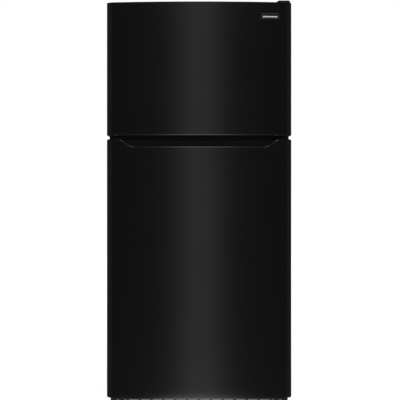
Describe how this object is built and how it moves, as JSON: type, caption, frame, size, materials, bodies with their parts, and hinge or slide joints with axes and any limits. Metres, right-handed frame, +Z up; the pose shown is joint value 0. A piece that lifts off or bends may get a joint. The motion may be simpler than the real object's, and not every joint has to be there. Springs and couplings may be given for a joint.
{
  "type": "top freezer refrigerator",
  "caption": "Upright two-door refrigerator: a small freezer compartment on top of a tall fresh food compartment, with crowned black doors and a recessed pocket handle.",
  "frame": {"origin": "on the floor, in the middle of the rectangle that the refrigerator covers", "axes": "+X to the hinge side, +Y to the back, +Z up; the doors face -Y"},
  "size_m": [0.762, 0.772, 1.683],
  "materials": {
    "black_enamel_steel": "gloss",
    "black_plastic": "satin",
    "white_plastic": "satin",
    "clear_plastic": "gloss",
    "shelf_glass": "gloss",
    "zinc_plated_steel": "satin",
    "aluminium": "satin",
    "polyurethane_foam": "matte",
    "gasket_rubber": "matte",
    "dark_metal": "satin",
    "fibreboard": "matte",
    "badge_metal": "satin"
  },
  "bodies": {
    "cabinet": {"cabinet_wrapper": "black_enamel_steel", "back_panel": "zinc_plated_steel", "machine_compartment_panel": "zinc_plated_steel", "foam_insulation": "polyurethane_foam", "freezer_liner": "white_plastic", "fresh_food_liner": "white_plastic", "centre_rail": "black_enamel_steel", "base_frame": "zinc_plated_steel", "toe_grille": "black_plastic", "top_hinge": "zinc_plated_steel", "top_hinge_cover": "black_plastic", "centre_hinge": "dark_metal", "bottom_hinge": "dark_metal", "evaporator_cover": "white_plastic", "evaporator_coil": "aluminium", "evaporator_fan_motor": "dark_metal", "freezer_shelf": "white_plastic", "upper_shelf": "shelf_glass", "lower_shelf": "shelf_glass", "crisper_cover": "clear_plastic", "control_housing": "white_plastic", "light_bulb": "white_plastic", "light_lens": "clear_plastic", "compressor": "dark_metal", "condenser_coil": "dark_metal", "condenser_fan_motor": "dark_metal", "drain_pan": "black_plastic", "rear_cover": "fibreboard", "power_inlet": "black_plastic"},
    "freezer_door": {"freezer_door_skin": "black_enamel_steel", "freezer_door_foam": "polyurethane_foam", "freezer_door_liner": "white_plastic", "freezer_door_gasket": "gasket_rubber", "freezer_door_top_cap": "black_plastic", "freezer_door_bottom_cap": "black_plastic", "freezer_door_lower_rack": "white_plastic", "freezer_door_upper_rack": "white_plastic", "door_badge": "badge_metal"},
    "fresh_door": {"fresh_door_skin": "black_enamel_steel", "fresh_door_foam": "polyurethane_foam", "fresh_door_liner": "white_plastic", "fresh_door_gasket": "gasket_rubber", "fresh_door_handle_cap": "black_plastic", "fresh_door_bottom_cap": "black_plastic", "door_bin_lower": "clear_plastic", "door_bin_upper": "clear_plastic", "dairy_compartment": "white_plastic"},
    "dairy_door": {"dairy_door": "clear_plastic"},
    "left_crisper": {"left_crisper": "clear_plastic"},
    "right_crisper": {"right_crisper": "clear_plastic"},
    "left_humidity_slide": {"left_humidity_slide": "white_plastic"},
    "right_humidity_slide": {"right_humidity_slide": "white_plastic"},
    "temperature_knob": {"temperature_knob": "white_plastic"},
    "light_switch_button": {"light_switch_button": "white_plastic"},
    "evaporator_fan": {"evaporator_fan": "white_plastic"},
    "condenser_fan": {"condenser_fan": "black_plastic"},
    "left_rear_roller": {"left_rear_roller": "black_plastic"},
    "right_rear_roller": {"right_rear_roller": "black_plastic"},
    "left_leveling_leg": {"left_leveling_leg": "black_plastic"},
    "right_leveling_leg": {"right_leveling_leg": "black_plastic"}
  },
  "joints": [
    {"name": "freezer_door_hinge", "type": "hinge", "parent": "cabinet", "child": "freezer_door", "pos_m": [0.355, -0.325, 1.12], "axis": [0, 0, 1], "range_deg": [0, 120]},
    {"name": "fresh_door_hinge", "type": "hinge", "parent": "cabinet", "child": "fresh_door", "pos_m": [0.355, -0.325, 0.043], "axis": [0, 0, 1], "range_deg": [0, 120]},
    {"name": "dairy_door_hinge", "type": "hinge", "parent": "fresh_door", "child": "dairy_door", "pos_m": [0, -0.2175, 1.009], "axis": [1, 0, 0], "range_deg": [0, 80]},
    {"name": "left_crisper_slide", "type": "slide", "parent": "cabinet", "child": "left_crisper", "axis": [0, -1, 0], "range_m": [0, 0.05]},
    {"name": "right_crisper_slide", "type": "slide", "parent": "cabinet", "child": "right_crisper", "axis": [0, -1, 0], "range_m": [0, 0.05]},
    {"name": "left_humidity_travel", "type": "slide", "parent": "cabinet", "child": "left_humidity_slide", "axis": [1, 0, 0], "range_m": [-0.018, 0.018]},
    {"name": "right_humidity_travel", "type": "slide", "parent": "cabinet", "child": "right_humidity_slide", "axis": [1, 0, 0], "range_m": [-0.018, 0.018]},
    {"name": "temperature_knob_turn", "type": "hinge", "parent": "cabinet", "child": "temperature_knob", "pos_m": [-0.1, -0.06, 1.054], "axis": [0, -1, 0], "range_deg": [-135, 135]},
    {"name": "light_switch_travel", "type": "slide", "parent": "cabinet", "child": "light_switch_button", "axis": [0, -1, 0], "range_m": [0, 0.0084]},
    {"name": "evaporator_fan_spin", "type": "hinge", "parent": "cabinet", "child": "evaporator_fan", "pos_m": [0, 0.276, 1.48], "axis": [0, 1, 0], "continuous": true},
    {"name": "condenser_fan_spin", "type": "hinge", "parent": "cabinet", "child": "condenser_fan", "pos_m": [-0.065, 0.29, 0.14], "axis": [1, 0, 0], "continuous": true},
    {"name": "left_roller_spin", "type": "hinge", "parent": "cabinet", "child": "left_rear_roller", "pos_m": [-0.33, 0.33, 0.02], "axis": [1, 0, 0], "continuous": true},
    {"name": "right_roller_spin", "type": "hinge", "parent": "cabinet", "child": "right_rear_roller", "pos_m": [0.33, 0.33, 0.02], "axis": [1, 0, 0], "continuous": true},
    {"name": "left_leg_travel", "type": "slide", "parent": "cabinet", "child": "left_leveling_leg", "axis": [0, 0, -1], "range_m": [0, 0.012]},
    {"name": "right_leg_travel", "type": "slide", "parent": "cabinet", "child": "right_leveling_leg", "axis": [0, 0, -1], "range_m": [0, 0.012]}
  ],
  "couplings": [
    {"joint": "light_switch_travel", "follows": "fresh_door_hinge", "m_per_rad": 0.0038}
  ]
}
